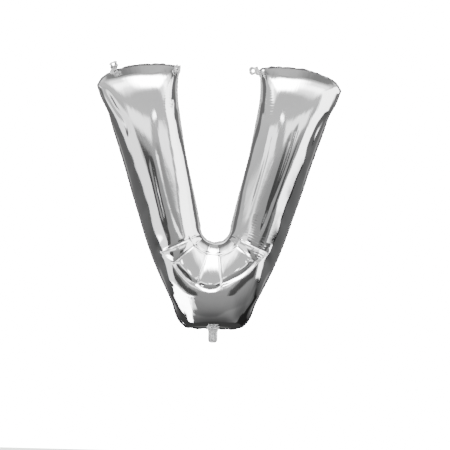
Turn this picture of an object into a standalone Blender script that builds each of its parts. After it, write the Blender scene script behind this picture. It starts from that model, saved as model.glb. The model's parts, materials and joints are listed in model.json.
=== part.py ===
"""Letter V foil balloon, inflated: two foil sheets welded round their edge, a filling tail and three hanging tabs.

Metres, +Z up, the letter's face looks along -Y. The origin is the centre of the gas volume, where the air
carries the balloon. The outline is drawn upright from its bottom seam and moved down by LIFT_HEIGHT at the end.
"""

import math

import bmesh
import bpy
import numpy as np
from mathutils import Matrix, Vector

# Driving dimensions
LIFT_HEIGHT = 0.4225       # centre of the gas volume above the bottom seam's edge
FOIL = 0.0015              # wall of one sheet; the real film is far thinner
SHEET_GAP = 0.0003         # between the two welded sheets
SEAM_WIDTH = 0.006         # flat welded border outside the bulge
NOTCH_CENTRE = (0.0, 0.308)  # centre of the round crook between the arms
NOTCH_RADIUS = 0.045
ARCH_SHARE = 0.22          # share of the arm's length over which the arched top seam shapes the grid

# How the filled foil stands off the seam's plane. It hardly stretches, so it fills out to a flat crown and is
# held down near the crook's seam, the top seam and the outer seam of the elbows.
FILL = 1.25                # of a membrane's round height, where nothing holds the foil down
CROWN = 0.066              # height at which the crown flattens
CROOK_PINCH = 0.90         # share taken off at a seam, and how far in from the seam that reaches
CROOK_REACH = 0.045
TOP_PINCH = 0.83
TOP_REACH = 0.057
ELBOW_PINCH = 0.97
ELBOW_REACH = 0.028
ELBOW_HEIGHT = 0.30        # middle of the elbow, and how far up and down the arm it counts
ELBOW_SPAN = 0.40

# Folds that fan out below the crook: angle from straight down, in degrees, and how the valleys run
FOLD_ANGLES = (12.5, 49.0, 64.5)
FOLD_DEPTH = 0.007
FOLD_NEAR = 0.075          # distance from the crook's centre where the valleys start
FOLD_FAR = 0.190           # and where they run out

# Film pieces
FILM = 0.0005              # tab film
TAIL_FOIL = 0.0004         # one foil layer of the tail
VALVE_FILM = 0.0003
LAYER_GAP = 0.0003
TAB_WIDTH = 0.024
TAB_LENGTH = 0.040
TAB_HOLE = 0.0045          # radius of the ribbon hole
TAB_HOLE_UP = 0.026        # hole centre from the hinge line
HINGE_SLACK = 0.0006       # hinge line outside the seam's edge, so that film turns free of it
TAIL_ROOT = 0.020          # half width where the tail leaves the seam
TAIL_HALF = 0.0145         # half width lower down
TAIL_LENGTH = 0.042
TAIL_SLACK = 0.0009

# Sections of the right half, from the centre line up to the arm's end:
# outer seam x, outer seam z, inner seam x, inner seam z, grid rows up to the next section
SECTIONS = (
    (0.000, -0.003, 0.000, 0.2660, 1),
    (0.034, -0.003, 0.0046, 0.2663, 1),
    (0.067, -0.003, 0.0091, 0.2670, 2),
    (0.097, 0.008, 0.0132, 0.2685, 2),
    (0.133, 0.084, 0.0220, 0.2725, 3),
    (0.170, 0.160, 0.0317, 0.2804, 1),
    (0.183, 0.188, 0.0354, 0.2855, 1),
    (0.195, 0.216, 0.0388, 0.2920, 2),
    (0.212, 0.262, 0.0450, 0.3120, 2),
    (0.236, 0.335, 0.0610, 0.3830, 2),
    (0.259, 0.405, 0.0780, 0.4530, 2),
    (0.283, 0.483, 0.0960, 0.5310, 2),
    (0.307, 0.556, 0.1090, 0.6040, 2),
    (0.324, 0.605, 0.1170, 0.6520, 2),
    (0.340, 0.655, 0.1240, 0.7000, 2),
    (0.360, 0.695, 0.1250, 0.7450, 0),
    (0.377, 0.735, 0.1220, 0.7970, 0),
)
# The arched top seam of the right arm, x and z, from its outer to its inner corner
TOP_SEAM = (
    (0.377, 0.735), (0.360, 0.760), (0.320, 0.780), (0.270, 0.796), (0.210, 0.803), (0.160, 0.803), (0.122, 0.797),
)
# Shares of the last section's length where further rows lie: they crowd towards the top seam
LAST_ROWS = (0.0, 0.35, 0.6, 0.78, 0.9, 0.97, 1.0)
COLUMNS = 14

# Hanging tabs: name, arm (-1 left, 1 right), seam it grows from, height or x of its middle on that seam,
# and how far it is folded towards the viewer as it rests (degrees)
TABS = (
    ("left_outer_tab", -1, "top", 0.324, 0.0),
    ("left_inner_tab", -1, "inner", 0.7805, 70.0),
    ("right_inner_tab", 1, "inner", 0.7805, 45.0),
)

SILVER = ((0.78, 0.78, 0.79), 0.12, 1.0)
TAIL_SILVER = ((0.62, 0.62, 0.63), 0.30, 1.0)
CLEAR_FILM = ((0.86, 0.87, 0.88), 0.25, 0.0)


def clear_scene():
    for obj in list(bpy.data.objects):
        bpy.data.objects.remove(obj, do_unlink=True)


def finish(name, colour, roughness, metallic):
    material = bpy.data.materials.new(name)
    material.use_nodes = True
    shader = material.node_tree.nodes["Principled BSDF"]
    shader.inputs["Base Color"].default_value = (*colour, 1.0)
    shader.inputs["Roughness"].default_value = roughness
    shader.inputs["Metallic"].default_value = metallic
    return material


def grid_rows():
    """Places of the grid's rows, counted in steps of the section table."""
    places = [k + j / row[4] for k, row in enumerate(SECTIONS) for j in range(row[4])]
    return np.array(places + [len(SECTIONS) - 2 + share for share in LAST_ROWS])


def smooth_path(points, at):
    """Points on a smooth curve through points, at places counted in steps of the list."""
    p = np.array(points, float)
    span = np.linalg.norm(np.diff(p, axis=0), axis=1)[:, None]
    slope = np.diff(p, axis=0) / span
    between = (slope[:-1] * span[1:] + slope[1:] * span[:-1]) / (span[1:] + span[:-1])
    tangent = np.vstack([slope[:1], between, slope[-1:]])
    k = np.minimum(np.array(at, float).astype(int), len(p) - 2)
    s = (np.array(at, float) - k)[:, None]
    start = (1 + 2 * s) * (1 - s) ** 2 * p[k] + s * (1 - s) ** 2 * span[k] * tangent[k]
    end = s**2 * (3 - 2 * s) * p[k + 1] + s**2 * (s - 1) * span[k] * tangent[k + 1]
    return start + end


def top_share(rows):
    """How far each row has come into the part of the arm that the arched top seam shapes, 0 to 1."""
    return np.clip((rows / rows[-1] - (1 - ARCH_SHARE)) / ARCH_SHARE, 0, 1)


def flat_grid():
    """The right half of a sheet laid flat: rows from the centre line up, columns from the outer to the inner seam."""
    rows = grid_rows()
    outer = smooth_path([row[:2] for row in SECTIONS], rows)
    inner = smooth_path([row[2:4] for row in SECTIONS], rows)
    across = (1 - np.cos(np.pi * np.arange(COLUMNS + 1) / COLUMNS)) / 2
    top = smooth_path(TOP_SEAM, across * (len(TOP_SEAM) - 1))
    top[0], top[-1] = outer[-1], inner[-1]
    grid = (1 - across)[None, :, None] * outer[:, None] + across[None, :, None] * inner[:, None]
    arch = top - grid[-1]
    return grid + (top_share(rows) ** 1.5)[:, None, None] * arch[None]


def inset(grid):
    """Moves the seam columns and the top row in by the welded border's width, and returns that border too."""
    across = grid[:, -1] - grid[:, 0]
    across /= np.linalg.norm(across, axis=1)[:, None]
    share = (1 - np.cos(np.pi * np.arange(COLUMNS + 1) / COLUMNS)) / 2
    pulled = grid + SEAM_WIDTH * (1 - 2 * share)[None, :, None] * across[:, None]
    up = grid[-1] - grid[-4]
    up /= np.linalg.norm(up, axis=1)[:, None]
    drop = SEAM_WIDTH * top_share(grid_rows())
    return pulled - drop[:, None, None] * up[None]


def bulge(grid):
    """How far the foil stands off the seam's plane: the root of twice a membrane's sag, which is round on a strip."""
    rows, columns = grid.shape[:2]
    points = grid.reshape(-1, 2)
    stiffness = np.zeros((len(points), len(points)))
    load = np.zeros(len(points))
    for r in range(rows - 1):
        for c in range(columns - 1):
            a, b = r * columns + c, (r + 1) * columns + c
            for corners in ((a, a + 1, b + 1), (a, b + 1, b)):
                p = points[list(corners)]
                edges = np.array([p[2] - p[1], p[0] - p[2], p[1] - p[0]])
                area = abs(edges[0][0] * edges[1][1] - edges[0][1] * edges[1][0]) / 2
                stiffness[np.ix_(corners, corners)] += edges @ edges.T / (4 * area)
                load[list(corners)] += area / 3
    free = np.ones((rows, columns), bool)
    free[:, 0] = free[:, -1] = free[-1] = False
    free = free.ravel()
    sag = np.zeros(len(points))
    sag[free] = np.linalg.solve(stiffness[np.ix_(free, free)], load[free])
    return np.sqrt(2 * sag).reshape(rows, columns)


def off_line(points, line):
    """How far each point lies from a line of points."""
    start, step = line[:-1], np.diff(line, axis=0)
    from_start = points[..., None, :] - start
    share = np.clip((from_start * step).sum(-1) / (step**2).sum(-1), 0, 1)
    return np.linalg.norm(from_start - share[..., None] * step, axis=-1).min(-1)


def filled(grid):
    """Height of the filled foil over the grid, without the fan of folds."""
    round_height = bulge(grid)
    height = FILL * round_height / (1 + (round_height / CROWN) ** 4) ** 0.25
    off_crook = np.clip(np.linalg.norm(grid - NOTCH_CENTRE, axis=-1) - NOTCH_RADIUS, 0, None)
    height *= 1 - CROOK_PINCH * np.exp(-off_crook / CROOK_REACH)
    height *= 1 - TOP_PINCH * np.exp(-off_line(grid, grid[-1]) / TOP_REACH)
    at_elbow = np.clip(1 - np.abs(grid[..., 1] - ELBOW_HEIGHT) / ELBOW_SPAN, 0, 1)
    return height * (1 - ELBOW_PINCH * np.exp(-off_line(grid, grid[:, 0]) / ELBOW_REACH) * at_elbow)


def fold_valleys(grid):
    """Depth of the valleys that fan out below the crook, sharp at each fold and gone between them."""
    dx = grid[..., 0] - NOTCH_CENTRE[0]
    dz = NOTCH_CENTRE[1] - grid[..., 1]
    angle = np.degrees(np.arctan2(dx, dz))
    distance = np.hypot(dx, dz)
    bounds = (-FOLD_ANGLES[0],) + FOLD_ANGLES
    sharp = np.zeros_like(angle)
    for low, high in zip(bounds, bounds[1:]):
        inside = (angle >= low) & (angle <= high)
        share = (angle - low) / (high - low)
        sharp = np.where(inside, 1 - np.sin(np.pi * np.clip(share, 0, 1)) ** 0.8, sharp)
    beyond = np.clip((angle - FOLD_ANGLES[-1]) / 6, 0, 1)
    sharp = np.where(angle > FOLD_ANGLES[-1], 1 - beyond, sharp)
    along = np.clip((distance - FOLD_NEAR) / (FOLD_FAR - FOLD_NEAR), 0, 1)
    return FOLD_DEPTH * sharp * np.sin(np.pi * along) ** 0.6


def sheet_half(side):
    """Mesh of the right half of one sheet's outer face, with its welded border. side is -1 for the front, 1 for the back."""
    edge = flat_grid()
    inner = inset(edge)
    height = np.maximum(filled(inner) - fold_valleys(inner), 0)
    mesh = bmesh.new()
    plane = SHEET_GAP / 2 + FOIL
    face = [
        [mesh.verts.new((x, side * (plane + h), z - LIFT_HEIGHT)) for (x, z), h in zip(row, heights)]
        for row, heights in zip(inner, height)
    ]

    def on_border(x, z):
        return mesh.verts.new((x, side * plane, z - LIFT_HEIGHT))

    outer_border = [on_border(*row[0]) for row in edge]
    inner_border = [on_border(*row[-1]) for row in edge]
    top_border = [outer_border[-1]] + [on_border(*p) for p in edge[-1][1:-1]] + [inner_border[-1]]
    strips = list(zip(face, face[1:]))
    strips += [(face[-1], top_border)]
    quads = [(a[c], a[c + 1], b[c + 1], b[c]) for a, b in strips for c in range(COLUMNS)]
    for r in range(len(face) - 1):
        quads.append((outer_border[r], face[r][0], face[r + 1][0], outer_border[r + 1]))
        quads.append((face[r][-1], inner_border[r], inner_border[r + 1], face[r + 1][-1]))
    for quad in quads:
        mesh.faces.new(quad if side > 0 else quad[::-1])
    data = bpy.data.meshes.new("sheet")
    mesh.to_mesh(data)
    mesh.free()
    return data


def foil_sheet(name, side, material, collection):
    """One foil sheet: the half mirrored at the letter's centre line and given its wall on the inside."""
    data = sheet_half(side)
    obj = bpy.data.objects.new(name, data)
    collection.objects.link(obj)
    mirror = obj.modifiers.new("both_arms", "MIRROR")
    mirror.use_axis = (True, False, False)
    mirror.use_clip = True
    mirror.merge_threshold = 0.00005
    wall = obj.modifiers.new("wall", "SOLIDIFY")
    wall.thickness = FOIL
    wall.offset = -1
    wall.use_even_offset = False
    data.materials.append(material)
    data.shade_smooth()
    return obj


def film_piece(name, outline, thickness, material, collection, hole=None):
    """A flat film piece drawn in its own X and Y, with its hinge line along X through its origin."""
    curve = bpy.data.curves.new(name, "CURVE")
    curve.dimensions = "2D"
    curve.fill_mode = "BOTH"
    curve.extrude = thickness / 2
    loops = [outline] + ([hole] if hole else [])
    for loop in loops:
        spline = curve.splines.new("POLY")
        spline.points.add(len(loop) - 1)
        for point, (x, y) in zip(spline.points, loop):
            point.co = (x, y, 0, 1)
        spline.use_cyclic_u = True
    curve.materials.append(material)
    obj = bpy.data.objects.new(name, curve)
    collection.objects.link(obj)
    return obj


def arc(centre, radius, start, end, steps):
    angles = [math.radians(start + (end - start) * k / steps) for k in range(steps + 1)]
    return [(centre[0] + radius * math.cos(a), centre[1] + radius * math.sin(a)) for a in angles]


def hinge_on_seam(arm, seam, middle):
    """Middle of a tab's hinge line just off the seam's edge, and the direction the tab points, in x and z."""
    edge = flat_grid()
    line, key, away = (edge[-1], 0, (0, 1)) if seam == "top" else (edge[:, -1], 1, (-arm, 0))
    order = np.argsort(line[:, key])
    ends = middle + np.array([-0.5, 0.5]) * TAB_WIDTH
    fine = np.linspace(*ends, 25)
    points = np.stack([np.interp(fine, line[order, key], line[order, k]) for k in (0, 1)], axis=1) * (arm, 1)
    along = points[-1] - points[0]
    out = np.array([-along[1], along[0]]) / np.hypot(*along)
    out *= np.sign(out @ np.array(away))
    centre = (points[0] + points[-1]) / 2
    return centre + out * (((points - centre) @ out).max() + HINGE_SLACK), out


def hanging_tab(name, arm, seam, middle, fold, material, collection):
    """A tab of film with a round end and a ribbon hole, its hinge line on the seam's edge."""
    half = TAB_WIDTH / 2
    corner = half * 0.8
    outline = [(-half, 0.0), (half, 0.0)]
    outline += arc((half - corner, TAB_LENGTH - corner), corner, 0, 90, 6)
    outline += arc((-half + corner, TAB_LENGTH - corner), corner, 90, 180, 6)
    hole = arc((0.0, TAB_HOLE_UP), TAB_HOLE, 0, -337.5, 15)
    obj = film_piece(name, outline, FILM, material, collection, hole)
    (x, z), (out_x, out_z) = hinge_on_seam(arm, seam, middle)
    out = Vector((out_x, 0, out_z))
    along = Vector((out_z, 0, -out_x))
    turn = Matrix.Rotation(math.radians(fold), 4, along)
    axes = Matrix((along, out, along.cross(out))).transposed().to_4x4()
    obj.matrix_world = Matrix.Translation((x, 0, z - LIFT_HEIGHT)) @ turn @ axes
    return obj


def tail_outline(shorter=0.0, narrower=0.0):
    """The filling tail's outline, hanging from its hinge line: shoulders at the root and a round end."""
    half = TAIL_HALF - narrower
    root = TAIL_ROOT - narrower
    length = TAIL_LENGTH - shorter
    right = [(root, 0.0), (root - 0.0015, -0.004), (half + 0.0008, -0.010), (half, -0.018)]
    tip = arc((0.0, -(length - half)), half, 0, -180, 14)
    left = [(-x, y) for x, y in reversed(right)]
    return right + tip + left


def filling_tail(foil, film, collection):
    """Two foil layers with the clear valve film between them, hanging from the bottom seam."""
    step = VALVE_FILM / 2 + LAYER_GAP + TAIL_FOIL / 2
    layers = (
        ("tail_front", -step, TAIL_FOIL, foil, 0.0, 0.0),
        ("valve_film", 0.0, VALVE_FILM, film, -0.002, 0.004),
        ("tail_back", step, TAIL_FOIL, foil, 0.0, 0.0),
    )
    for name, y, thickness, material, shorter, narrower in layers:
        obj = film_piece(name, tail_outline(shorter, narrower), thickness, material, collection)
        obj.rotation_euler = (math.radians(90), 0, 0)
        obj.location = (0, y, SECTIONS[0][1] - TAIL_SLACK - LIFT_HEIGHT)


def build():
    clear_scene()
    collection = bpy.data.collections.new("letter_foil_balloon")
    bpy.context.scene.collection.children.link(collection)
    silver = finish("silver_foil", *SILVER)
    tail_silver = finish("tail_foil", *TAIL_SILVER)
    clear_film = finish("clear_film", *CLEAR_FILM)
    foil_sheet("front_foil", -1, silver, collection)
    foil_sheet("back_foil", 1, silver, collection)
    filling_tail(tail_silver, clear_film, collection)
    for tab in TABS:
        hanging_tab(*tab, clear_film, collection)


build()
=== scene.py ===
import json
import math

import bpy
import numpy as np
from mathutils import Matrix, Vector, noise
from mathutils.geometry import delaunay_2d_cdt


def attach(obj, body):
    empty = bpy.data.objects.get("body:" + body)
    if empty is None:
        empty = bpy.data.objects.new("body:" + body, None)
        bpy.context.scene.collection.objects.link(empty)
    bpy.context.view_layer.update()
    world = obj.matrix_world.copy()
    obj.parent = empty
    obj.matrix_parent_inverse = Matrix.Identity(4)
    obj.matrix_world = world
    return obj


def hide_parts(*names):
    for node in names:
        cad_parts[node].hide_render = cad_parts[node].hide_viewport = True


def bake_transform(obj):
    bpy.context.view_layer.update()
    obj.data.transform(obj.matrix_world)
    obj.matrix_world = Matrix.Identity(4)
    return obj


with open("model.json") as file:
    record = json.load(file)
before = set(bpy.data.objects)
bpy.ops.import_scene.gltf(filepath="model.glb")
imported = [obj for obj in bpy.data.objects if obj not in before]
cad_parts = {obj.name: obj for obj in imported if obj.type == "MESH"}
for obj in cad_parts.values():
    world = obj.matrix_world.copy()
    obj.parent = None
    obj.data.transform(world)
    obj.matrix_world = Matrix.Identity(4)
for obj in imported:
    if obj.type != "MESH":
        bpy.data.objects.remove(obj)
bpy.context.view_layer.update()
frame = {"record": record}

# Letter-shaped foil balloon. Two skins are cut flat, welded to each other round the edge and blown up, and
# the puckers are the ones that the flat foil makes as it fills. The fan of folds below the crook, the arms'
# long creases and a few patches of fine ripples are pressed in afterwards.
# Sizes are in metres. Heights in the outline tables are measured from the bottom seam.
BOTTOM_SEAM_Z = -0.4225
WELD_WIDTH = 0.006
FILM_THICKNESS = 0.0002

# Right half of the welded edge's inner line: where it lies on the filled letter, x and height, and where
# the same point of the foil lies in the flat cut, x and height. The cut is wider, because the foil narrows
# as it swells.
OUTER_SEAM = [
    (0, .003, 0, -.046), (.067, .003, .074, -.043), (.082, .006, .102, -.030), (.092, .013, .124, -.010),
    (.1275, .087, .173, .059), (.1645, .163, .211, .143), (.189, .219, .238, .204), (.206, .264, .258, .250),
    (.230, .337, .287, .328), (.253, .407, .312, .400), (.277, .485, .338, .480), (.301, .558, .360, .556),
    (.318, .607, .375, .609), (.334, .657, .388, .658), (.354, .695, .394, .700), (.368, .733, .390, .741)]
TOP_SEAM = [
    (.368, .733, .390, .741), (.354, .754, .376, .766), (.318, .774, .338, .790), (.270, .790, .286, .809),
    (.210, .797, .221, .818), (.160, .797, .165, .816), (.128, .791, .119, .801)]
INNER_SEAM = [
    (.128, .791, .119, .801), (.131, .745, .103, .749), (.130, .700, .088, .700), (.123, .652, .077, .650),
    (.115, .604, .068, .602), (.102, .531, .055, .529), (.084, .453, .043, .450), (.067, .383, .036, .380),
    (.051, .312, .034, .322)]
# Round the crook: height of the centre, radius and first angle in degrees, on the letter and in the cut.
CROOK = [(.308, .051, 4.7), (.314, .034, 8.0)]

# The fan of folds below the crook, measured round the crook's centre. Directions are in degrees from
# straight down, positive to the right. A ring parts the small cells at the crook from the panels, and the
# panels end at the rim.
FAN_FOLDS = [-64, -48, -16.4, 8.4, 50, 65]
FAN_RING = .082
FAN_RIM = [(-72, .185), (-64, .180), (-47, .163), (-32, .171), (-22, .179), (-16.4, .179), (-10, .186),
           (-4, .188), (2, .185), (6, .178), (8.4, .171), (20, .164), (50, .158), (65, .170)]
VALLEY_DEPTH, VALLEY_WIDTH = .0028, .0035
# How far the panels and the cells bow out, as a share of half their width, and the welt along the ring.
PANEL_BOW, CELL_BOW = .085, .12
WELT_HEIGHT, WELT_WIDTH = .0019, .0032
# The lip at the rim: how deep it is by direction, how wide, and the width of the step from it to the flat
# lower facet, which bows a little.
FAN_LIP = [(-50, .0012), (-22, .0016), (-12, .0042), (6, .0042), (12, .0060), (44, .0060), (52, .0030)]
LIP_WIDTH, STEP_WIDTH = .040, .0095
FACET_BOW = .0045

# Long creases that stay in the filled arms: depth, half width, then x and height of each corner.
ARM_CREASES = [
    (.0040, .007, [(-.352, .728), (-.316, .668), (-.276, .612), (-.262, .545)]),
    (.0022, .005, [(-.186, .560), (-.160, .450), (-.128, .340), (-.100, .270)]),
    (.0016, .005, [(-.205, .520), (-.176, .400), (-.150, .300)]),
    (.0030, .007, [(.336, .672), (.300, .610), (.272, .520)]),
    (.0024, .005, [(.248, .640), (.214, .520), (.170, .390), (.132, .285)]),
    (.0018, .004, [(.226, .610), (.190, .480), (.150, .350)]),
    (.0014, .004, [(.166, .620), (.142, .500), (.110, .380), (.088, .300)]),
]

# Patches of fine ripples: depth, wave length, lean from upright in radians, then x and height of the middle,
# and half the patch's size across and along.
RIPPLES = [
    (.0006, .0085, .10, -.152, .690, .012, .045),
    (.0006, .0085, -.10, .152, .690, .012, .045),
    (.00012, .0080, .36, .128, .310, .026, .040),
    (.0003, .0078, .36, .134, .238, .022, .026),
]

# The filling. The flat cut's points lie CUT_STEP apart, and that step is halved before each fine stage. A
# coarse stage has its steps, gas pressure and pull to the seam, a fine one its steps, pressure and stiffness.
CUT_STEP = .012
COARSE_STAGES = [(50, 2e-4, 0.0), (50, 2e-4, 0.03), (60, 2e-4, 0.15), (40, 1e-4, 0.6)]
COARSE_STIFFNESS = .02
FINE_STAGES = [(60, 6e-5, 0.02), (50, 1.5e-5, 0.03)]
# The share of its lost length that foil which is pushed together gets back in a round. The rest puckers.
THREAD_PUSH = 0.3

# Waves of the welded edge: the length of the fine ones, and of the long ones along the top and the bottom.
FINE_WAVE, LONG_WAVE = .0085, .026

# The arms lean outward. This is the lean's cosine and sine, for places measured across and along an arm.
ARM_COS, ARM_SIN = 0.946, 0.324


def fade_in(value, start, width):
    """0 up to start, and 1 from a width further on."""
    return np.clip((value - start) / width, 0, 1)


def fade_out(value, end, width):
    """1 until a width before end, and 0 from end on."""
    return np.clip((end - value) / width, 0, 1)


def smooth_curve(corners, per=8):
    """A smooth line through the corners, with per steps between two of them."""
    p = np.array(corners, float)
    span = np.linalg.norm(np.diff(p, axis=0), axis=1)[:, None]
    slope = np.diff(p, axis=0) / span
    between = (slope[:-1] * span[1:] + slope[1:] * span[:-1]) / (span[1:] + span[:-1])
    tangent = np.vstack([slope[:1], between, slope[-1:]])
    s = np.linspace(0, 1, per, endpoint=False)[:, None]
    parts = [(1 + 2 * s) * (1 - s) ** 2 * p[k] + s * (1 - s) ** 2 * span[k] * tangent[k]
             + s**2 * (3 - 2 * s) * p[k + 1] + s**2 * (s - 1) * span[k] * tangent[k + 1]
             for k in range(len(p) - 1)]
    return np.vstack(parts + [p[-1:]])


def letter_loop(flat):
    """The whole closed outline, anticlockwise from the middle of the bottom edge: the flat cut's, or the
    filled letter's with as many points in the same order."""
    tables = [smooth_curve([row[2:] if flat else row[:2] for row in table])[k > 0:]
              for k, table in enumerate((OUTER_SEAM, TOP_SEAM, INNER_SEAM))]
    height, radius, first = CROOK[flat]
    turn = np.radians(np.linspace(first, -90, 14))
    arc = np.stack([radius * np.cos(turn), height + radius * np.sin(turn)], axis=1)
    right = np.vstack([*tables, arc])
    return np.vstack([right, right[::-1][1:-1] * (-1, 1)])


def seam_places(flat_points, cut, seam):
    """Where points on the edge of the cut lie on the filled letter."""
    steps = np.linspace(0, 1, 24, endpoint=False)[:, None, None]
    fine_cut, fine_seam = (np.swapaxes(loop + steps * (np.roll(loop, -1, axis=0) - loop), 0, 1).reshape(-1, 2)
                           for loop in (cut, seam))
    return fine_seam[[((fine_cut - p) ** 2).sum(1).argmin() for p in flat_points]]


def spaced(loop, step):
    """The closed loop again, with points a step apart."""
    p = np.vstack([loop, loop[:1]])
    along = np.concatenate([[0], np.cumsum(np.linalg.norm(np.diff(p, axis=0), axis=1))])
    at = np.linspace(0, along[-1], int(round(along[-1] / step)), endpoint=False)
    return np.stack([np.interp(at, along, p[:, 0]), np.interp(at, along, p[:, 1])], axis=1)


def inside(points, loop):
    """Which points lie inside the closed loop."""
    x, z = points.T
    result = np.zeros(len(points), bool)
    for (x0, z0), (x1, z1) in zip(loop, np.roll(loop, -1, axis=0)):
        if z0 != z1:
            crosses = ((z0 > z) != (z1 > z)) & (x < x0 + (z - z0) * (x1 - x0) / (z1 - z0))
            result ^= crosses
    return result


def nearest(points, line, closed=True):
    """How far each point is from the line, and the place on the line nearest to it."""
    start = line if closed else line[:-1]
    step = (np.roll(line, -1, axis=0) - line) if closed else np.diff(line, axis=0)
    far = np.empty(len(points))
    place = np.empty((len(points), 2))
    for first in range(0, len(points), 4000):
        p = points[first:first + 4000, None]
        t = np.clip(((p - start) * step).sum(2) / (step**2).sum(1), 0, 1)
        foot = start + t[..., None] * step
        gap = ((p - foot) ** 2).sum(2)
        best = gap.argmin(1)
        row = np.arange(len(best))
        far[first:first + 4000] = np.sqrt(gap[row, best])
        place[first:first + 4000] = foot[row, best]
    return far, place


def edges_of(triangles):
    """The edges of the triangles, each once, with how many triangles use it and which edge each side is."""
    sides = np.sort(np.vstack([triangles[:, [0, 1]], triangles[:, [1, 2]], triangles[:, [2, 0]]]), axis=1)
    edges, number, uses = np.unique(sides, axis=0, return_inverse=True, return_counts=True)
    return edges, number.reshape(-1), uses


def flat_cut(loop, step, hole=None):
    """Points and triangles of a flat cut, and which points lie on its edge. A hole is a closed loop too."""
    rim = spaced(loop, step)
    low, high = loop.min(0), loop.max(0)
    row = step * math.sqrt(3) / 2
    lattice = [np.stack(np.broadcast_arrays(np.arange(low[0] - step / 2 * (k % 2), high[0] + step, step),
                                            low[1] + k * row), axis=1)
               for k in range(int((high[1] - low[1]) / row) + 2)]
    lattice = np.vstack(lattice)
    lattice = lattice[inside(lattice, rim)]
    lattice = lattice[nearest(lattice, rim)[0] > 0.6 * step]
    round_it = [(k, (k + 1) % len(rim)) for k in range(len(rim))]
    if hole is not None:
        lattice = lattice[~inside(lattice, hole) & (nearest(lattice, hole)[0] > 0.5 * step)]
        first = len(rim) + len(lattice)
        round_it += [(first + k, first + (k + 1) % len(hole)) for k in range(len(hole))]
        lattice = np.vstack([lattice, hole])
    points = [tuple(p) for p in np.vstack([rim, lattice])]
    made, _, faces, *_ = delaunay_2d_cdt(points, round_it, [list(range(len(rim)))], 1, 1e-9)
    points, faces = np.array([tuple(p) for p in made]), np.array(faces)
    if hole is not None:
        faces = faces[~inside(points[faces].mean(1), hole)]
    a, b, c = (points[faces[:, k]] for k in range(3))
    turned = (b[:, 0] - a[:, 0]) * (c[:, 1] - a[:, 1]) < (b[:, 1] - a[:, 1]) * (c[:, 0] - a[:, 0])
    faces[turned] = faces[turned][:, ::-1]
    edges, _, uses = edges_of(faces)
    on_edge = np.zeros(len(points), bool)
    on_edge[edges[uses == 1].ravel()] = True
    return points, faces, on_edge


def apart(pairs, count, seed):
    """Groups of pairs in which no point comes twice, so that a group can be moved at once."""
    order = np.random.default_rng(seed)
    left, groups = np.arange(len(pairs)), []
    while len(left):
        used, chosen, pool = np.zeros(count, bool), [], left
        for _ in range(6):
            pool = pool[~(used[pairs[pool, 0]] | used[pairs[pool, 1]])]
            if not len(pool):
                break
            rank = order.permutation(len(pool))
            first = np.full(count, len(pool) + 1)
            np.minimum.at(first, pairs[pool, 0], rank)
            np.minimum.at(first, pairs[pool, 1], rank)
            taken = pool[(first[pairs[pool, 0]] == rank) & (first[pairs[pool, 1]] == rank)]
            chosen.append(taken)
            used[pairs[taken].ravel()] = True
        groups.append(np.concatenate(chosen))
        keep = np.ones(len(pairs), bool)
        keep[groups[-1]] = False
        left = left[keep[left]]
    return groups


def threads(pairs, flat, seed):
    """The pairs with their length in the flat foil, in groups that can be moved at once."""
    length = np.linalg.norm(flat[pairs[:, 0]] - flat[pairs[:, 1]], axis=1)
    return [(pairs[g, 0], pairs[g, 1], length[g]) for g in apart(pairs, len(flat), seed)]


def pull_threads(at, groups, push, pull):
    """Brings each thread back to its length: by push where it is short and by pull where it is long."""
    for a, b, length in groups:
        d = at[b] - at[a]
        now = np.sqrt(np.einsum("ij,ij->i", d, d)) + 1e-12
        share = np.where(now > length, pull, push) * 0.5 * (now - length) / now
        d *= share[:, None]
        at[a] += d
        at[b] -= d


def edge_ring(faces):
    """The points round the edge of a skin, in order."""
    sides = np.vstack([faces[:, [0, 1]], faces[:, [1, 2]], faces[:, [2, 0]]])
    one_way = {(a, b) for a, b in sides.tolist()}
    after = {a: b for a, b in one_way if (b, a) not in one_way}
    ring = [min(after)]
    while after[ring[-1]] != ring[0]:
        ring.append(after[ring[-1]])
    return np.array(ring)


def round_crook(at):
    """How far each point is from the crook's centre, and its direction in degrees from straight down."""
    x, down = at[:, 0], CROOK[0][0] - at[:, 2]
    return np.hypot(x, down), np.degrees(np.arctan2(x, down))


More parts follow.
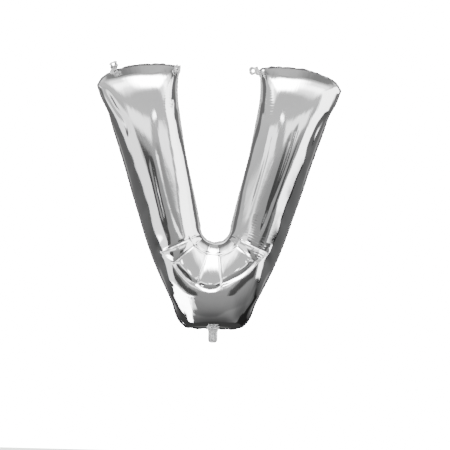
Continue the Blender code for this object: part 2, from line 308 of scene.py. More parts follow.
class Skin:
    """One foil skin as it fills: points in space over the points of the flat cut.
    The foil hardly stretches, but it gives way and puckers where it is pushed together."""

    def __init__(self, flat, faces, on_edge, at=None, coarser=()):
        self.flat, self.faces, self.on_edge, self.coarser = flat, faces, on_edge, list(coarser)
        self.at = np.stack([flat[:, 0], 0 * flat[:, 0], flat[:, 1]], axis=1) if at is None else at
        self.speed = np.zeros_like(self.at)
        edges, number, _ = edges_of(faces)
        self.weave = threads(edges, flat, 1)
        across = np.concatenate([faces[:, 2], faces[:, 0], faces[:, 1]])
        order = np.argsort(number, kind="stable")
        twice = number[order][1:] == number[order][:-1]
        self.stays = threads(np.stack([across[order][:-1][twice], across[order][1:][twice]], axis=1), flat, 2)
        self.edge = np.nonzero(on_edge)[0]
        self.seam = seam_places(flat[self.edge], letter_loop(True), letter_loop(False))
        self.area = abs(self.normals(np.stack([flat[:, 0], 0 * flat[:, 0], flat[:, 1]], axis=1))[:, 1].sum())

    def normals(self, at):
        """The share of the skin's area round each point, as a vector square to it."""
        a, b, c = (at[self.faces[:, k]] for k in range(3))
        n = np.cross(b - a, c - a) / 6
        return np.stack([sum(np.bincount(self.faces[:, k], n[:, j], len(at)) for k in range(3))
                         for j in range(3)], axis=1)

    def fill(self, steps, rounds, pressure, bend, seam_pull, damping=0.9):
        """Blows the skin up for so many steps, while its edge is drawn in to the seam."""
        lift = pressure / self.area * len(self.flat)
        for _ in range(steps):
            self.speed = (self.speed + lift * self.normals(self.at)) * damping
            before = self.at.copy()
            self.at = self.at + self.speed
            for _ in range(rounds):
                for groups in self.coarser:
                    pull_threads(self.at, groups, 0.0, 1.0)
                pull_threads(self.at, self.weave, THREAD_PUSH, 1.0)
                pull_threads(self.at, self.stays, bend, bend)
                self.at[self.edge, 1] = 0
                self.at[self.edge[:, None], [0, 2]] += seam_pull * (self.seam - self.at[self.edge][:, [0, 2]])
            self.speed = self.at - before

    def finer(self):
        """The same skin with each triangle cut in four and the new edge points on the cut's own outline."""
        edges, number, uses = edges_of(self.faces)
        middle = (self.flat[edges[:, 0]] + self.flat[edges[:, 1]]) / 2
        middle[uses == 1] = nearest(middle[uses == 1], letter_loop(True))[1]
        at = (self.at[edges[:, 0]] + self.at[edges[:, 1]]) / 2
        count, (a, b, c) = len(self.faces), self.faces.T
        ab, bc, ca = (number[k * count:(k + 1) * count] + len(self.flat) for k in range(3))
        quarters = (a, ab, ca), (ab, b, bc), (ca, bc, c), (ab, bc, ca)
        faces = np.vstack([np.stack(corners, axis=1) for corners in quarters])
        return Skin(np.vstack([self.flat, middle]), faces, np.concatenate([self.on_edge, uses == 1]),
                    np.vstack([self.at, at]), self.coarser + [self.weave])

    def split_near_fan(self):
        """Halves the edges in and round the fan, so that its folds come out crisp."""
        edges, number, _ = edges_of(self.faces)
        far, turn = round_crook(self.at)
        near = (far < 0.215) & (np.abs(turn) < 82) & (far > 0.056)
        split = near[edges].all(1)
        name = np.full(len(edges), -1)
        name[split] = len(self.at) + np.arange(split.sum())
        middle = name[number].reshape(3, -1)
        faces = []
        for (a, b, c), (ab, bc, ca) in zip(self.faces.tolist(), middle.T.tolist()):
            if ab < 0 and bc < 0 and ca < 0:
                faces.append((a, b, c))
                continue
            if ab >= 0 and bc >= 0 and ca >= 0:
                faces += [(a, ab, ca), (ab, b, bc), (ca, bc, c), (ab, bc, ca)]
                continue
            while ab < 0 or ca >= 0 and bc < 0:
                a, b, c, ab, bc, ca = b, c, a, bc, ca, ab
            faces += [(a, ab, c), (ab, b, c)] if bc < 0 else [(ab, b, bc), (a, ab, c), (ab, bc, c)]
        halves = edges[split]
        self.faces = np.array(faces)
        self.at = np.vstack([self.at, (self.at[halves[:, 0]] + self.at[halves[:, 1]]) / 2])
        self.on_edge = np.concatenate([self.on_edge, np.zeros(len(halves), bool)])

    def fold_fan(self):
        """Presses the fan of folds into the smooth skin below the crook: small cells at the crook, then flat
        panels that bow a little between narrow valleys, and a lip where the lower facet begins."""
        far, turn = round_crook(self.at)
        folds = np.array(FAN_FOLDS, float)
        panel = np.clip(np.searchsorted(folds, turn), 1, len(folds) - 1)
        left, right = folds[panel - 1], folds[panel]
        half = np.radians(right - left) / 2 * far
        bow = 1 - np.clip((2 * turn - left - right) / (right - left), -1, 1) ** 2
        rim = np.interp(turn, *zip(*FAN_RIM))
        within = np.interp(turn, (-74, -66, 66, 74), (0, 1, 1, 0))
        beyond = far - rim
        lip = np.interp(turn, *zip(*FAN_LIP)) * np.clip(beyond / LIP_WIDTH + 1, 0, 1) ** 4
        below = fade_in(beyond, 0, STEP_WIDTH)
        facet = np.interp(beyond, (STEP_WIDTH, 0.085, 0.120), (-0.4 * FACET_BOW, FACET_BOW, 0))
        facet *= np.where(beyond < 0.047, np.interp(turn, (-24, -8), (0.1, 1)), 1)
        off_seam = nearest(self.at[:, [0, 2]], letter_loop(False))[0]
        dent = ((1 - below) * lip + below * facet) * within * fade_in(off_seam, 0, 0.022)
        panels = fade_in(far, FAN_RING, 0.008) * fade_out(beyond, 0.006, 0.018)
        cells = fade_in(off_seam, 0.002, 0.006) * fade_out(far, FAN_RING, 0.006)
        aside = np.radians(turn[:, None] - folds) * far[:, None]
        valley = np.exp(-np.abs(aside) / VALLEY_WIDTH).max(1)
        dent += VALLEY_DEPTH * valley * (panels + 0.6 * cells)
        dent -= half * bow * (PANEL_BOW * panels + CELL_BOW * cells)
        dent -= WELT_HEIGHT * np.exp(-(((far - FAN_RING) / WELT_WIDTH) ** 2)) * within
        self.at[:, 1] += np.where(self.on_edge, 0, dent)

    def press_creases(self):
        """Presses in the few long creases of the arms and the patches of fine ripples."""
        x, z = self.at[:, 0], self.at[:, 2]
        for depth, width, corners in ARM_CREASES:
            line = smooth_curve(corners)
            far = nearest(self.at[:, [0, 2]], line, closed=False)[0]
            ends = np.minimum(*(np.hypot(x - end_x, z - end_z) for end_x, end_z in (line[0], line[-1])))
            press = depth * np.exp(-((far / width) ** 2)) * fade_in(ends, 0, 0.04)
            self.at[:, 1] += np.where(self.on_edge, 0, press)
        for depth, length, lean, middle_x, middle_z, half_width, half_height in RIPPLES:
            across = (x - middle_x) * math.cos(lean) - (z - middle_z) * math.sin(lean)
            along = (x - middle_x) * math.sin(lean) + (z - middle_z) * math.cos(lean)
            window = np.exp(-((across / half_width) ** 4) - (along / half_height) ** 4)
            uneven = ruffle(across, along, 0.022, 5)
            ripple = depth * window * (1 + 0.5 * uneven) * np.cos(2 * math.pi * along / length + 1.6 * uneven)
            self.at[:, 1] += np.where(self.on_edge, 0, ripple)

    def soften(self, rounds, strength):
        """Evens out the finest puckers, by a strength for each point."""
        edges = edges_of(self.faces)[0]
        a, b = np.concatenate([edges, edges[:, ::-1]]).T
        beside = np.bincount(a, minlength=len(self.at))[:, None]
        strength = np.where(self.on_edge, 0, strength)[:, None]
        for _ in range(rounds):
            mean = np.stack([np.bincount(a, self.at[b, k], len(self.at)) for k in range(3)], axis=1) / beside
            self.at += strength * (mean - self.at)


def filled_skin():
    """The front skin of the filled letter, from its flat cut. It starts a little in front of the seam."""
    skin = Skin(*flat_cut(letter_loop(True), CUT_STEP))
    skin.at[:, 1] = -0.012
    skin.at[skin.edge, 1] = 0
    for steps, pressure, seam_pull in COARSE_STAGES:
        skin.fill(steps, 8, pressure, COARSE_STIFFNESS, seam_pull)
    for steps, pressure, stiffness in FINE_STAGES:
        skin = skin.finer()
        skin.fill(steps, 10, pressure, stiffness, 1.0, 0.85)
    return skin


def finished_skin(skin):
    """The filled skin with its finest puckers evened out, the fan folded in and the arms' creases pressed in.
    It is smoother round the fan and at both ends, and smoothest at the base and the right shoulder."""
    z = skin.at[:, 2]
    far, turn = round_crook(skin.at)
    fan = fade_out(far, 0.26, 0.03) * np.interp(np.abs(turn), (90, 110), (1, 0))
    ends = fade_in(z, 0.69, 0.03) + fade_out(z, 0.07, 0.03)
    off_seam = nearest(skin.at[:, [0, 2]], letter_loop(False))[0]
    base = fade_out(z, 0.10, 0.03)
    shoulder = fade_out(off_seam, 0.05, 0.02) * fade_out(np.abs(z - 0.60), 0.07, 0.03)
    skin.soften(30, 0.5)
    skin.soften(50, 0.5 * np.maximum(fan, ends))
    skin.soften(120, 0.5 * np.maximum(base, shoulder * (skin.at[:, 0] > 0.24)))
    skin.split_near_fan()
    skin.fold_fan()
    skin.press_creases()
    skin.soften(2, 0.4)
    return skin


def wave(along, length, seed):
    """Smooth uneven waves of about that length along a line."""
    return np.array([noise.noise(Vector((s / length * 2, seed, 0.37 * seed))) for s in along]) * 1.8


def ruffle(across, out, size, seed):
    """Uneven small folds of crumpled film, from about -1 to 1."""
    return np.array([noise.noise(Vector((u / size, v / size, seed))) * 1.6
                     + noise.noise(Vector((2.3 * u / size, 2.3 * v / size, seed + 7))) * 0.5
                     for u, v in zip(across, out)])


def mesh_piece(name, points, faces, materials, second=None):
    """A smooth mesh piece. The faces from number second on take the second material, and meet the rest
    crisply."""
    mesh = bpy.data.meshes.new(name)
    mesh.vertices.add(len(points))
    mesh.vertices.foreach_set("co", np.asarray(points, np.float32).ravel())
    mesh.loops.add(3 * len(faces))
    mesh.loops.foreach_set("vertex_index", np.asarray(faces, np.int32).ravel())
    mesh.polygons.add(len(faces))
    mesh.polygons.foreach_set("loop_start", np.arange(0, 3 * len(faces), 3, dtype=np.int32))
    for material in materials:
        mesh.materials.append(material)
    if second is not None:
        numbers = np.zeros(len(faces), np.int32)
        numbers[second:] = 1
        mesh.polygons.foreach_set("material_index", numbers)
    mesh.update(calc_edges=True)
    mesh.validate()
    mesh.shade_smooth()
    if second is not None:
        shared = np.zeros(len(points), bool)
        shared[np.intersect1d(faces[:second], faces[second:])] = True
        edges = np.empty(2 * len(mesh.edges), np.int32)
        mesh.edges.foreach_get("vertices", edges)
        crisp = mesh.attributes.new("sharp_edge", "BOOLEAN", "EDGE")
        crisp.data.foreach_set("value", shared[edges.reshape(-1, 2)].all(1))
    piece = bpy.data.objects.new(name, mesh)
    bpy.context.scene.collection.objects.link(piece)
    return piece


def welded_edge(skin, first):
    """Points and faces of the flat welded edge round a skin. Both skins share its ripple.
    The foil is longer there than the filled seam, so it stands in small waves."""
    ring = edge_ring(skin.faces)
    line = skin.at[ring][:, [0, 2]]
    fine = np.empty((2 * len(line), 2))
    fine[::2], fine[1::2] = line, (line + np.roll(line, -1, axis=0)) / 2
    even = fine
    for _ in range(12):
        even = (np.roll(even, 1, axis=0) + 2 * even + np.roll(even, -1, axis=0)) / 4
    ahead = np.roll(even, -2, axis=0) - np.roll(even, 2, axis=0)
    ahead /= np.linalg.norm(ahead, axis=1)[:, None]
    outward = np.stack([ahead[:, 1], -ahead[:, 0]], axis=1)
    along = np.concatenate([[0], np.cumsum(np.linalg.norm(np.diff(fine, axis=0), axis=1))])
    ends = fade_in(np.abs(outward[:, 1]), 0.75, 0.15)
    lift = 0.0007 * wave(along, FINE_WAVE, 3) + ends * 0.0016 * wave(along, LONG_WAVE, 5)
    reach = 0.0004 * wave(along, FINE_WAVE, 7) + ends * 0.0013 * wave(along, LONG_WAVE, 9)
    points, rows = [], 4
    for row in range(1, rows + 1):
        share = row / rows
        place = fine + outward * (share * WELD_WIDTH + share * reach)[:, None]
        points.append(np.stack([place[:, 0], share**1.5 * lift, place[:, 1]], axis=1))
    count = len(fine)
    inner = np.empty(count, int)
    inner[::2] = ring
    inner[1::2] = first + np.arange(len(ring))
    middle = np.stack([fine[1::2, 0], 0 * fine[1::2, 0], fine[1::2, 1]], axis=1)
    level = [inner] + [first + len(ring) + row * count + np.arange(count) for row in range(rows)]
    faces = []
    for low, high in zip(level, level[1:]):
        a, b = low, np.roll(low, -1)
        c, d = np.roll(high, -1), high
        faces += [np.stack([a, d, c], axis=1), np.stack([a, c, b], axis=1)]
    return np.vstack([middle] + points), np.vstack(faces)


# Node groups and materials


def group(name, inputs, outputs):
    """A new node group with number inputs (name, value) and outputs (name, socket kind)."""
    tree = bpy.data.node_groups.new(name, "ShaderNodeTree")
    for label, value in inputs:
        socket = tree.interface.new_socket(label, in_out="INPUT", socket_type="NodeSocketFloat")
        socket.default_value = value
    for label, kind in outputs:
        tree.interface.new_socket(label, in_out="OUTPUT", socket_type=kind)
    return tree, tree.nodes.new("NodeGroupInput"), tree.nodes.new("NodeGroupOutput")


def math_node(tree, operation, *values):
    """A Math node. Each value is a number or another node's socket."""
    node = tree.nodes.new("ShaderNodeMath")
    node.operation = operation
    for k, value in enumerate(values):
        if isinstance(value, (int, float)):
            node.inputs[k].default_value = value
        else:
            tree.links.new(value, node.inputs[k])
    return node.outputs[0]


# Short forms of the commonest Math nodes.
def plus(tree, a, b):
    return math_node(tree, "ADD", a, b)


def minus(tree, a, b):
    return math_node(tree, "SUBTRACT", a, b)


def times(tree, a, b):
    return math_node(tree, "MULTIPLY", a, b)


def at_least(tree, a, b):
    return math_node(tree, "MAXIMUM", a, b)


def noise_node(tree, place, scale, detail=2.0, roughness=0.5):
    """Noise from about 0 to 1 over the place. The scale is a number or another node's socket."""
    node = tree.nodes.new("ShaderNodeTexNoise")
    node.inputs["Detail"].default_value = detail
    node.inputs["Roughness"].default_value = roughness
    tree.links.new(place, node.inputs["Vector"])
    if isinstance(scale, (int, float)):
        node.inputs["Scale"].default_value = scale
    else:
        tree.links.new(scale, node.inputs["Scale"])
    return node.outputs["Fac"]


def blend_numbers(tree, share, low, high):
    """low where share is 0 and high where it is 1."""
    node = tree.nodes.new("ShaderNodeMapRange")
    for label, value in (("Value", share), ("To Min", low), ("To Max", high)):
        if isinstance(value, (int, float)):
            node.inputs[label].default_value = value
        else:
            tree.links.new(value, node.inputs[label])
    return node.outputs["Result"]


def across_arm(tree, side, height):
    """How far to the arm's outer side a place is, square to the arm. Side is its x without the sign."""
    return minus(tree, times(tree, side, ARM_COS), times(tree, height, ARM_SIN))


def foil_creases():
    """Long shallow creases that run up the two arms, and a fine crinkle between them."""
    tree, given, result = group(
        "foil_creases", [("Crease Depth", 0.5), ("Crinkle Depth", 0.5), ("Crinkle Size", 90.0)],
        [("Height", "NodeSocketFloat"), ("Mask", "NodeSocketFloat")])
    at = tree.nodes.new("ShaderNodeTexCoord").outputs["Object"]
    part = tree.nodes.new("ShaderNodeSeparateXYZ")
    tree.links.new(at, part.inputs[0])
    side = math_node(tree, "ABSOLUTE", part.outputs["X"])
    across = across_arm(tree, side, part.outputs["Z"])
    up = plus(tree, times(tree, side, ARM_SIN), times(tree, part.outputs["Z"], ARM_COS))
    place = tree.nodes.new("ShaderNodeCombineXYZ")
    tree.links.new(times(tree, across, 9.0), place.inputs["X"])
    tree.links.new(part.outputs["Y"], place.inputs["Y"])
    tree.links.new(times(tree, up, 0.7), place.inputs["Z"])
    long_creases = noise_node(tree, place.outputs[0], 9.0, 3.0, 0.45)
    crinkle = noise_node(tree, at, given.outputs["Crinkle Size"], 3.0, 0.55)
    height = plus(tree, times(tree, long_creases, given.outputs["Crease Depth"]),
                  times(tree, crinkle, given.outputs["Crinkle Depth"]))
    tree.links.new(height, result.inputs["Height"])
    tree.links.new(crinkle, result.inputs["Mask"])
    return tree


def handling_marks():
    """Faint rubbed and cloudy patches that dull a bright surface a little."""
    tree, given, result = group(
        "handling_marks", [("Patch Size", 14.0), ("Speck Size", 260.0), ("Low", 0.0), ("High", 1.0)],
        [("Amount", "NodeSocketFloat")])
    at = tree.nodes.new("ShaderNodeTexCoord").outputs["Object"]
    patches = noise_node(tree, at, given.outputs["Patch Size"], 4.0, 0.6)
    specks = noise_node(tree, at, given.outputs["Speck Size"], 2.0, 0.5)
    both = plus(tree, times(tree, patches, 0.75), times(tree, specks, 0.25))
    amount = blend_numbers(tree, both, given.outputs["Low"], given.outputs["High"])
    tree.links.new(amount, result.inputs["Amount"])
    return tree


def film_wrinkles():
    """Sharp small wrinkles of thin clear film."""
    tree, given, result = group("film_wrinkles", [("Size", 60.0), ("Sharpness", 1.0)],
                                [("Height", "NodeSocketFloat"), ("Mask", "NodeSocketFloat")])
    at = tree.nodes.new("ShaderNodeTexCoord").outputs["Object"]
    folds = tree.nodes.new("ShaderNodeTexVoronoi")
    folds.feature = "SMOOTH_F1"
    tree.links.new(at, folds.inputs["Vector"])
    tree.links.new(given.outputs["Size"], folds.inputs["Scale"])
    fine = noise_node(tree, at, times(tree, given.outputs["Size"], 2.5), 3.0, 0.6)
    height = plus(tree, times(tree, folds.outputs["Distance"], given.outputs["Sharpness"]),
                  times(tree, fine, 0.5))
    tree.links.new(height, result.inputs["Height"])
    tree.links.new(fine, result.inputs["Mask"])
    return tree


def painted_edge_shade():
    """Where the welded edge gets painted shade: Outer is 1 on the outer, top and bottom edges and 0 on the
    inner edges and the crook, and Above goes from 0 at the bottom edge up to 0.3 a little higher, so the
    painted shade is darkest along the bottom edge."""
    tree, given, result = group("painted_edge_shade", [("Middle", 0.12), ("Top", 0.355), ("Bottom", -0.41)],
                                [("Outer", "NodeSocketFloat"), ("Above", "NodeSocketFloat")])
    part = tree.nodes.new("ShaderNodeSeparateXYZ")
    tree.links.new(tree.nodes.new("ShaderNodeTexCoord").outputs["Object"], part.inputs[0])
    height = part.outputs["Z"]
    across = across_arm(tree, math_node(tree, "ABSOLUTE", part.outputs["X"]), height)
    beside = times(tree, minus(tree, across, given.outputs["Middle"]), 60.0)
    at_top = times(tree, minus(tree, height, given.outputs["Top"]), 60.0)
    outer = at_least(tree, at_least(tree, beside, at_top), 0.0)
    tree.links.new(math_node(tree, "MINIMUM", outer, 1.0), result.inputs["Outer"])
    higher = times(tree, minus(tree, height, given.outputs["Bottom"]), 2.0)
    tree.links.new(math_node(tree, "MINIMUM", at_least(tree, higher, 0.0), 0.3), result.inputs["Above"])
    return tree


def place_group(material, made, **values):
    """A node group placed in the material, with its inputs set by name."""
    node = material.node_tree.nodes.new("ShaderNodeGroup")
    node.node_tree = made
    for label, value in values.items():
        node.inputs[label.replace("_", " ")].default_value = value
    return node


def bump_into(material, height, distance, strength=1.0):
    """The height shows as relief on the material, distance metres from lowest to highest."""
    tree = material.node_tree
    bump = tree.nodes.new("ShaderNodeBump")
    bump.inputs["Distance"].default_value = distance
    bump.inputs["Strength"].default_value = strength
    tree.links.new(height, bump.inputs["Height"])
    tree.links.new(bump.outputs["Normal"], tree.nodes["Principled BSDF"].inputs["Normal"])


def grey_ramp(tree, share, low, high):
    """A colour that goes from one grey or tint to another as share goes from 0 to 1."""
    ramp = tree.nodes.new("ShaderNodeValToRGB")
    ramp.color_ramp.elements[0].color = (*low, 1)
    ramp.color_ramp.elements[1].color = (*high, 1)
    tree.links.new(share, ramp.inputs["Fac"])
    return ramp.outputs["Color"]


def new_material(name, **constants):
    """A material with those constants on its shader's sockets, its node tree and its shader."""
    material = bpy.data.materials.new(name)
    material.use_nodes = True
    shader = material.node_tree.nodes["Principled BSDF"]
    for label, value in constants.items():
        shader.inputs[label.replace("_", " ")].default_value = value
    return material, material.node_tree, shader


CREASES = foil_creases()
PAINTED_EDGE_SHADE = painted_edge_shade()
MARKS = handling_marks()
WRINKLES = film_wrinkles()


def dull_with_marks(material, patch_size, speck_size, low, high):
    """Rubbed and cloudy patches set the roughness, from low to high."""
    marks = place_group(material, MARKS, Patch_Size=patch_size, Speck_Size=speck_size, Low=low, High=high)
    tree = material.node_tree
    tree.links.new(marks.outputs["Amount"], tree.nodes["Principled BSDF"].inputs["Roughness"])


def silver_foil():
    """Bright metallised film of the two skins."""
    material, tree, shader = new_material("silver_foil", Metallic=1.0)
    creases = place_group(material, CREASES, Crease_Depth=0.80, Crinkle_Depth=0.12, Crinkle_Size=70.0)
    dull_with_marks(material, 9.0, 220.0, 0.03, 0.13)
    colour = grey_ramp(tree, creases.outputs["Mask"], (.86, .865, .87), (.93, .93, .935))
    tree.links.new(colour, shader.inputs["Base Color"])
    bump_into(material, creases.outputs["Height"], 0.0010, 0.5)
    return material


def welded_foil_painted_shade():
    """The same film where it is pressed and welded: duller and finely crinkled, with painted shade that
    colours its outer, top and bottom edges dark and its bottom edge nearly black.
    """
    material, tree, shader = new_material("welded_foil_painted_shade", Metallic=1.0)
    creases = place_group(material, CREASES, Crease_Depth=0.1, Crinkle_Depth=0.6, Crinkle_Size=420.0)
    dull_with_marks(material, 40.0, 500.0, 0.34, 0.58)
    # Painted shade: the outer, top and bottom edges are coloured dark, the bottom edge nearly black.
    side = place_group(material, PAINTED_EDGE_SHADE)
    mottle = creases.outputs["Mask"]
    inner_share = plus(tree, times(tree, mottle, 0.5), 0.5)
    outer_painted_shade = times(tree, mottle, plus(tree, side.outputs["Above"], 0.10))
    share = blend_numbers(tree, side.outputs["Outer"], inner_share, outer_painted_shade)
    colour = grey_ramp(tree, share, (.02, .02, .021), (.92, .92, .925))
    tree.links.new(colour, shader.inputs["Base Color"])
    bump_into(material, creases.outputs["Height"], 0.0008, 0.7)
    return material


def tail_foil():
    """Thin half-clear metallised film of the filling tail."""
    material, tree, shader = new_material("tail_foil", Metallic=0.7)
    wrinkles = place_group(material, WRINKLES, Size=110.0, Sharpness=0.8)
    dull_with_marks(material, 60.0, 600.0, 0.16, 0.42)
    colour = grey_ramp(tree, wrinkles.outputs["Mask"], (.42, .425, .43), (.78, .785, .79))
    tree.links.new(colour, shader.inputs["Base Color"])
    tree.links.new(blend_numbers(tree, wrinkles.outputs["Mask"], 0.80, 0.99), shader.inputs["Alpha"])
    bump_into(material, wrinkles.outputs["Height"], 0.0012, 0.8)
    return material


def clear_film():
    """Clear film of the hanging tabs and the valve. Its colour is painted shade and highlight over the
    wrinkles.
    """
    material, tree, shader = new_material("clear_film", Transmission_Weight=0.05, IOR=1.38)
    wrinkles = place_group(material, WRINKLES, Size=170.0, Sharpness=1.0)
    dull_with_marks(material, 80.0, 700.0, 0.02, 0.22)
    # Painted shade and highlight: near black where the fine wrinkles sit low, white where they rise.
    colour = grey_ramp(tree, wrinkles.outputs["Mask"], (.06, .062, .065), (.95, .95, .95))
    tree.links.new(colour, shader.inputs["Base Color"])
    bump_into(material, wrinkles.outputs["Height"], 0.0016, 1.0)
    return material


FOIL, WELD, TAIL, CLEAR = silver_foil(), welded_foil_painted_shade(), tail_foil(), clear_film()

# The two skins

skin = finished_skin(filled_skin())
edge_points, edge_faces = welded_edge(skin, len(skin.at))
points = np.vstack([skin.at, edge_points]) + (0, 0, BOTTOM_SEAM_Z)
faces = np.vstack([skin.faces, edge_faces])
layer_gap = np.zeros(len(points))
layer_gap[len(skin.at):] = FILM_THICKNESS / 4
layer_gap = np.outer(layer_gap, (0, 1, 0))
front = mesh_piece("front_skin", points - layer_gap, faces, [FOIL, WELD], len(skin.faces))
mirrored = points.copy()
mirrored[:len(skin.at), 1] *= -1
back = mesh_piece("back_skin", mirrored + layer_gap, faces[:, ::-1], [FOIL, WELD], len(skin.faces))
for piece, node in ((front, "front_foil"), (back, "back_foil")):
    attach(piece, "envelope")
    piece.visible_glossy = False
    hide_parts(node)

# Hanging tabs and filling tail

# A film's root is the part that is welded over the letter's edge. Its length is measured from its hinge, and
# STEP is how far apart the points of its flat cut lie.
TAB_WIDTH, TAB_ROOT, TAB_LENGTH = 0.024, 0.008, 0.040
TAB_CORNER, TAB_STEP = 0.006, 0.0013
TAB_HOLE_OUT, TAB_HOLE_RADIUS = 0.026, 0.0045
TAIL_ROOT, TAIL_HALF_WIDTH, TAIL_LENGTH = 0.005, 0.0145, 0.042
TAIL_CORNER, TAIL_STEP = 0.010, 0.0014
PLEAT_WIDTH, PLEAT_DEPTH = 0.0095, 0.0011


def joint_of(body):
    """The hinge that a body hangs on: its place and its axis in the row frame."""
    joint = next(j for j in frame["record"]["behaviour"]["joints"] if j["name"] == body + "_flex")
    return np.array(joint["pos_m"], float), np.array(joint["axis"], float)


def tab_outline(width, root, length, corner):
    """Across and out: a strip with rounded outer corners."""
    turn = np.radians(np.linspace(0, 90, 7))
    arc = np.stack([width / 2 - corner + corner * np.cos(turn),
                    length - corner + corner * np.sin(turn)], axis=1)
    right = np.vstack([[(0, -root), (width / 2, -root)], arc, [(0, length)]])
    return np.vstack([right, right[::-1][1:-1] * (-1, 1)])


def film_piece(name, flat, faces, bent, hinge, along, outward, material):
    """A thin film over bent = across, out and off the flat, for each point of the flat cut."""
    normal = np.cross(along, outward)
    points = (hinge + np.outer(bent[:, 0], along) + np.outer(bent[:, 1], outward)
              + np.outer(bent[:, 2], normal))
    piece = mesh_piece(name, points, faces, [material])
    thick = piece.modifiers.new("film", "SOLIDIFY")
    thick.thickness, thick.offset = FILM_THICKNESS, 0.0
    return piece


def hanging_tab(body, outward, root_shift, shorten, curl, fold_length, ripple, seed):
    """One crumpled film tab with its hole, welded over the edge of the letter at its root. It shortens as it
    crumples, and its outer part curls by some degrees towards the front."""
    hinge, along = joint_of(body)
    outward = np.array(outward, float)
    turn = np.linspace(0, 2 * math.pi, 22, endpoint=False)
    hole = np.stack([TAB_HOLE_RADIUS * np.cos(turn), TAB_HOLE_OUT + TAB_HOLE_RADIUS * np.sin(turn)], axis=1)
    flat, faces, _ = flat_cut(tab_outline(TAB_WIDTH, TAB_ROOT, TAB_LENGTH, TAB_CORNER), TAB_STEP, hole)
    across, out = flat.T
    free = fade_in(out, 0, 0.010)
    slant = 9 * across / TAB_WIDTH * ruffle(across, out, 0.05, seed + 1)
    off = ripple * free * np.sin(2 * math.pi * out / fold_length + slant)
    off += 0.0014 * free * ruffle(across, out, 0.008, seed)
    round_hole = np.hypot(across, out - TAB_HOLE_OUT) - TAB_HOLE_RADIUS
    off += 0.0007 * np.exp(-(((round_hole - 0.001) / 0.0009) ** 2))
    squeeze = 1 + 0.12 * free * np.sin(2 * math.pi * out / 0.019 + seed)
    length = np.where(out > 0, out * shorten, out)
    bend = math.radians(curl) * fade_in(length, 0, TAB_LENGTH * shorten)
    reach = np.where(length > 0, length * np.sinc(bend / math.pi), length)
    lift = np.where(length > 0, length * np.sin(bend / 2) * np.sinc(bend / 2 / math.pi), 0)
    bent = np.stack([across * squeeze + root_shift * free, reach - off * np.sin(bend),
                     lift + off * np.cos(bend)], axis=1)
    piece = film_piece(body + "_film", flat, faces, bent, hinge, along, outward, CLEAR)
    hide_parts(body)
    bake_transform(piece)


hanging_tab("left_outer_tab", (-.371668, 0, .928366), 0.007, 0.72, 60, 0.016, 0.0036, 3)
hanging_tab("left_inner_tab", (.341214, -.939692, -.023472), -0.007, 0.62, 150, 0.013, 0.0030, 11)
hanging_tab("right_inner_tab", (-.705439, -.707107, -.048527), 0.008, 0.85, -60, 0.019, 0.0028, 23)


def tail_layer(name, node, side, length, material, seed):
    """One layer of the filling tail: front, back, or the valve film between them, in lengthwise pleats."""
    hinge, along = joint_of("filling_tail")
    flat, faces, _ = flat_cut(tab_outline(2 * TAIL_HALF_WIDTH, TAIL_ROOT, length, TAIL_CORNER), TAIL_STEP)
    across, out = flat.T
    flare = 1 + 0.36 * np.clip(1 - (out + TAIL_ROOT) / 0.014, 0, 1) ** 1.5
    free = fade_in(out, 0, 0.008)
    pleats = np.sin(2 * math.pi * across / PLEAT_WIDTH + 2.2 * ruffle(across, out, 0.030, 2))
    off = PLEAT_DEPTH * pleats * free + 0.0009 * free * ruffle(across, out, 0.007, 5)
    off += 0.0003 * free * ruffle(across, out, 0.005, seed)
    sink = 0.0022 * free * np.clip(1 - (across / TAIL_HALF_WIDTH) ** 2, 0, 1)
    rest = np.where(out < 0.002, 0.0008, 0.0004)
    bent = np.stack([across * flare, out * 0.94, off * 0.8 + side * (rest + 0.5 * sink)], axis=1)
    piece = film_piece(name, flat, faces, bent, hinge, along, np.array((0.0, 0.0, -1.0)), material)
    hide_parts(node)
    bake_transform(piece)


tail_layer("tail_front_layer", "tail_front", 1, TAIL_LENGTH, TAIL, 31)
tail_layer("tail_valve_layer", "valve_film", 0, TAIL_LENGTH + 0.002, CLEAR, 37)
tail_layer("tail_back_layer", "tail_back", -1, TAIL_LENGTH, TAIL, 41)

# Stage, light and camera

FLOOR_HEIGHT, FLOOR_REACH = -1.15, 3
corners = [(x * FLOOR_REACH, y * FLOOR_REACH, FLOOR_HEIGHT) for x, y in ((-1, -1), (1, -1), (1, 1), (-1, 1))]
ground = mesh_piece("ground", corners, [(0, 1, 2), (0, 2, 3)], [])
pale, pale_tree, pale_shader = new_material("pale_floor", Roughness=0.8)
pale_marks = place_group(pale, MARKS, Patch_Size=2.0, Speck_Size=60.0)
pale_tree.links.new(grey_ramp(pale_tree, pale_marks.outputs["Amount"], (.86, .86, .85), (.92, .92, .91)),
                    pale_shader.inputs["Base Color"])
ground.data.materials.append(pale)
ground.visible_glossy = False


# The studio's brightness from straight down, at 0, over the horizon, at .5, to straight up, at 1.
STUDIO_BELOW, STUDIO_ABOVE = .07, .45
STUDIO_BETWEEN = [(.14, .13), (.27, .25), (.34, .32), (.42, .35), (.48, .38), (.515, .60), (.60, .78),
                  (.88, .68), (.93, .6)]
# The least that the front and the dim part behind the balloon fall to, and the white that the camera sees.
FRONT_DARKEST, BEHIND_DARKEST = 0.012, 0.018
WHITE_STRENGTH = 20.0


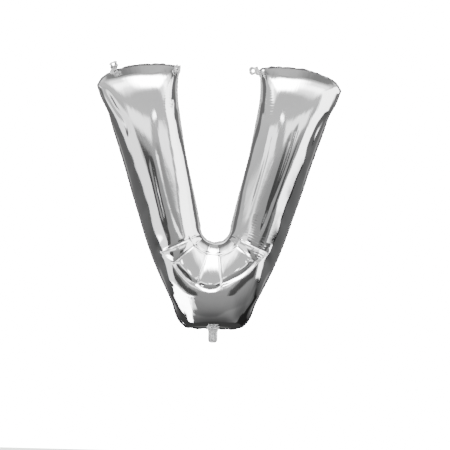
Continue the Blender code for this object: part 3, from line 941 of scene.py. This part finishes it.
def studio_world():
    """White for the camera, and a plain studio round the balloon for its reflections. A direction in it has a
    bearing, in degrees from the front towards the right, and a rise above the horizon."""
    world = bpy.data.worlds.new("studio")
    bpy.context.scene.world = world
    world.use_nodes = True
    tree = world.node_tree
    tree.nodes.clear()
    part = tree.nodes.new("ShaderNodeSeparateXYZ")
    tree.links.new(tree.nodes.new("ShaderNodeTexCoord").outputs["Generated"], part.inputs[0])
    x, y, z = part.outputs

    def angle(operation, *values):
        return math_node(tree, "DEGREES", math_node(tree, operation, *values))

    bearing = angle("ARCTAN2", x, times(tree, y, -1.0))
    rise = angle("ARCSINE", z)

    def smooth_step(value, start, end):
        node = tree.nodes.new("ShaderNodeMapRange")
        node.interpolation_type = "SMOOTHSTEP"
        node.inputs["From Min"].default_value = start
        node.inputs["From Max"].default_value = end
        tree.links.new(value, node.inputs["Value"])
        return node.outputs["Result"]

    def panel(first_range, second_range, softness, strength, first=bearing, second=rise):
        """A patch of directions: its two ranges, how soft their ends are, and how strong the patch is."""
        share = 1.0
        for value, (low, high), soft in zip((first, second), (first_range, second_range), softness):
            up = smooth_step(value, low - soft, low + soft)
            down = smooth_step(value, high + soft, high - soft)
            share = times(tree, times(tree, up, down), share)
        return times(tree, share, strength)

    around = tree.nodes.new("ShaderNodeValToRGB")
    stops = around.color_ramp.elements
    for stop, grey in zip(stops, (STUDIO_BELOW, STUDIO_ABOVE)):
        stop.color = (grey, grey, grey, 1)
    for position, grey in STUDIO_BETWEEN:
        stops.new(position).color = (grey, grey, grey, 1)
    tree.links.new(plus(tree, math_node(tree, "DIVIDE", rise, 180.0), 0.5), around.inputs["Fac"])

    # Other measures of a direction: how far from the front, which way round the front from straight up, how
    # far to the right, a bearing that moves outward below the horizon, and the bearing to either side.
    from_front = angle("ARCCOSINE", times(tree, y, -1.0))
    round_front = angle("ARCTAN2", x, z)
    sideways = angle("ARCSINE", x)
    slanting = minus(tree, bearing, times(tree, plus(tree, rise, 25.0), 1.62))
    turned = math_node(tree, "ABSOLUTE", bearing)

    light = around.outputs["Color"]
    for value in (
            panel((-88, -44), (-46, 5), (2, 4), 1.6),  # broad light on the left
            panel((54, 88), (-19, 34), (2, 2), 4.2),  # two on the right
            panel((88, 110), (4, 24), (2, 3), 3.6),
            panel((-120, -37), (-60, -23), (4.5, 2), 12.0, slanting),  # low light for the lower facet
            panel((-44, -10), (2, 13), (2, 2), 2.0),  # two strips just above the horizon
            panel((10, 44), (2, 13), (2, 2), 2.0),
            panel((-3, 3), (14, 18), (1, 1), 8.0),  # small lamp
            panel((50, 79), (-24, 18), (4, 7), 16.0, from_front, round_front),  # overhead, with paler ends
            panel((56, 68), (-54, 50), (4, 6), 3.5, from_front, round_front),
            panel((48, 80), (-56, 52), (6, 6), 2.2, from_front, round_front)):
        light = plus(tree, light, value)
    for value in (
            panel((-43, -22), (-17, -5), (3, 2), 0.28),  # two dark patches just below the horizon
            panel((20, 43), (-17, -5), (3, 2), 0.28),
            panel((56, 100), (-80, -14), (28, 6), 0.4, sideways)):  # dark floor on the right
        light = at_least(tree, minus(tree, light, value), FRONT_DARKEST)

    # Behind the balloon the studio is dim, apart from a lit wall right behind it.
    behind = blend_numbers(tree, smooth_step(rise, -38.0, -4.0), 0.055, 0.17)
    behind = blend_numbers(tree, smooth_step(rise, 40.0, 56.0), behind, 0.26)
    behind = plus(tree, behind, panel((84, 150), (-12, 12), (6, 10), 0.45, from_front, round_front))
    floor = panel((72, 128), (-70, -32), (8, 6), 0.2)
    behind = at_least(tree, minus(tree, behind, floor), BEHIND_DARKEST)
    wall_rise = times(tree, smooth_step(rise, -32.0, -4.0), smooth_step(rise, 50.0, 40.0))
    wall = times(tree, smooth_step(turned, 144.0, 158.0), wall_rise)
    behind = blend_numbers(tree, wall, behind, around.outputs["Color"])
    behind = plus(tree, behind, panel((150, 190), (18, 40), (6, 3), 2.5, turned))

    # How far round to either side the front reaches, by rise.
    side_edge = blend_numbers(tree, smooth_step(rise, -10.0, 5.0), 86.0, 108.0)
    for start, end, edge in ((26.0, 34.0, 86.0), (-19.0, -28.0, 72.0), (-28.0, -54.0, 128.0)):
        side_edge = blend_numbers(tree, smooth_step(rise, start, end), side_edge, edge)
    side_edge = plus(tree, side_edge, panel((20, 200), (-30, 0), (5, 6), 9.0))
    in_front = smooth_step(minus(tree, turned, side_edge), 2.5, -2.5)
    light = blend_numbers(tree, in_front, behind, light)

    studio, white = (tree.nodes.new("ShaderNodeBackground") for _ in range(2))
    both = tree.nodes.new("ShaderNodeMixShader")
    tree.links.new(light, studio.inputs["Color"])
    white.inputs["Color"].default_value = (1, 1, 1, 1)
    white.inputs["Strength"].default_value = WHITE_STRENGTH
    path = tree.nodes.new("ShaderNodeLightPath").outputs
    tree.links.new(at_least(tree, path["Is Camera Ray"], path["Is Transmission Ray"]), both.inputs[0])
    tree.links.new(studio.outputs[0], both.inputs[1])
    tree.links.new(white.outputs[0], both.inputs[2])
    tree.links.new(both.outputs[0], tree.nodes.new("ShaderNodeOutputWorld").inputs["Surface"])


studio_world()

# The camera faces the letter square on, a little rolled. It aims at a point of the seam plane.
CAMERA_ROLL = math.radians(1.45)
CAMERA_AIM = Vector((0.0286, 0, 0.3153 + BOTTOM_SEAM_Z))
CAMERA_DISTANCE = 6.0
VIEW_WIDTH = 1.374
camera_data = bpy.data.cameras.new("camera")
camera_data.lens = camera_data.sensor_width * CAMERA_DISTANCE / VIEW_WIDTH
camera = bpy.data.objects.new("camera", camera_data)
bpy.context.scene.collection.objects.link(camera)
right = Vector((math.cos(CAMERA_ROLL), 0, math.sin(CAMERA_ROLL)))
above = Vector((-math.sin(CAMERA_ROLL), 0, math.cos(CAMERA_ROLL)))
turn = Matrix((right, above, right.cross(above))).transposed().to_4x4()
camera.matrix_world = Matrix.Translation(CAMERA_AIM - Vector((0, CAMERA_DISTANCE, 0))) @ turn
bpy.context.scene.camera = camera
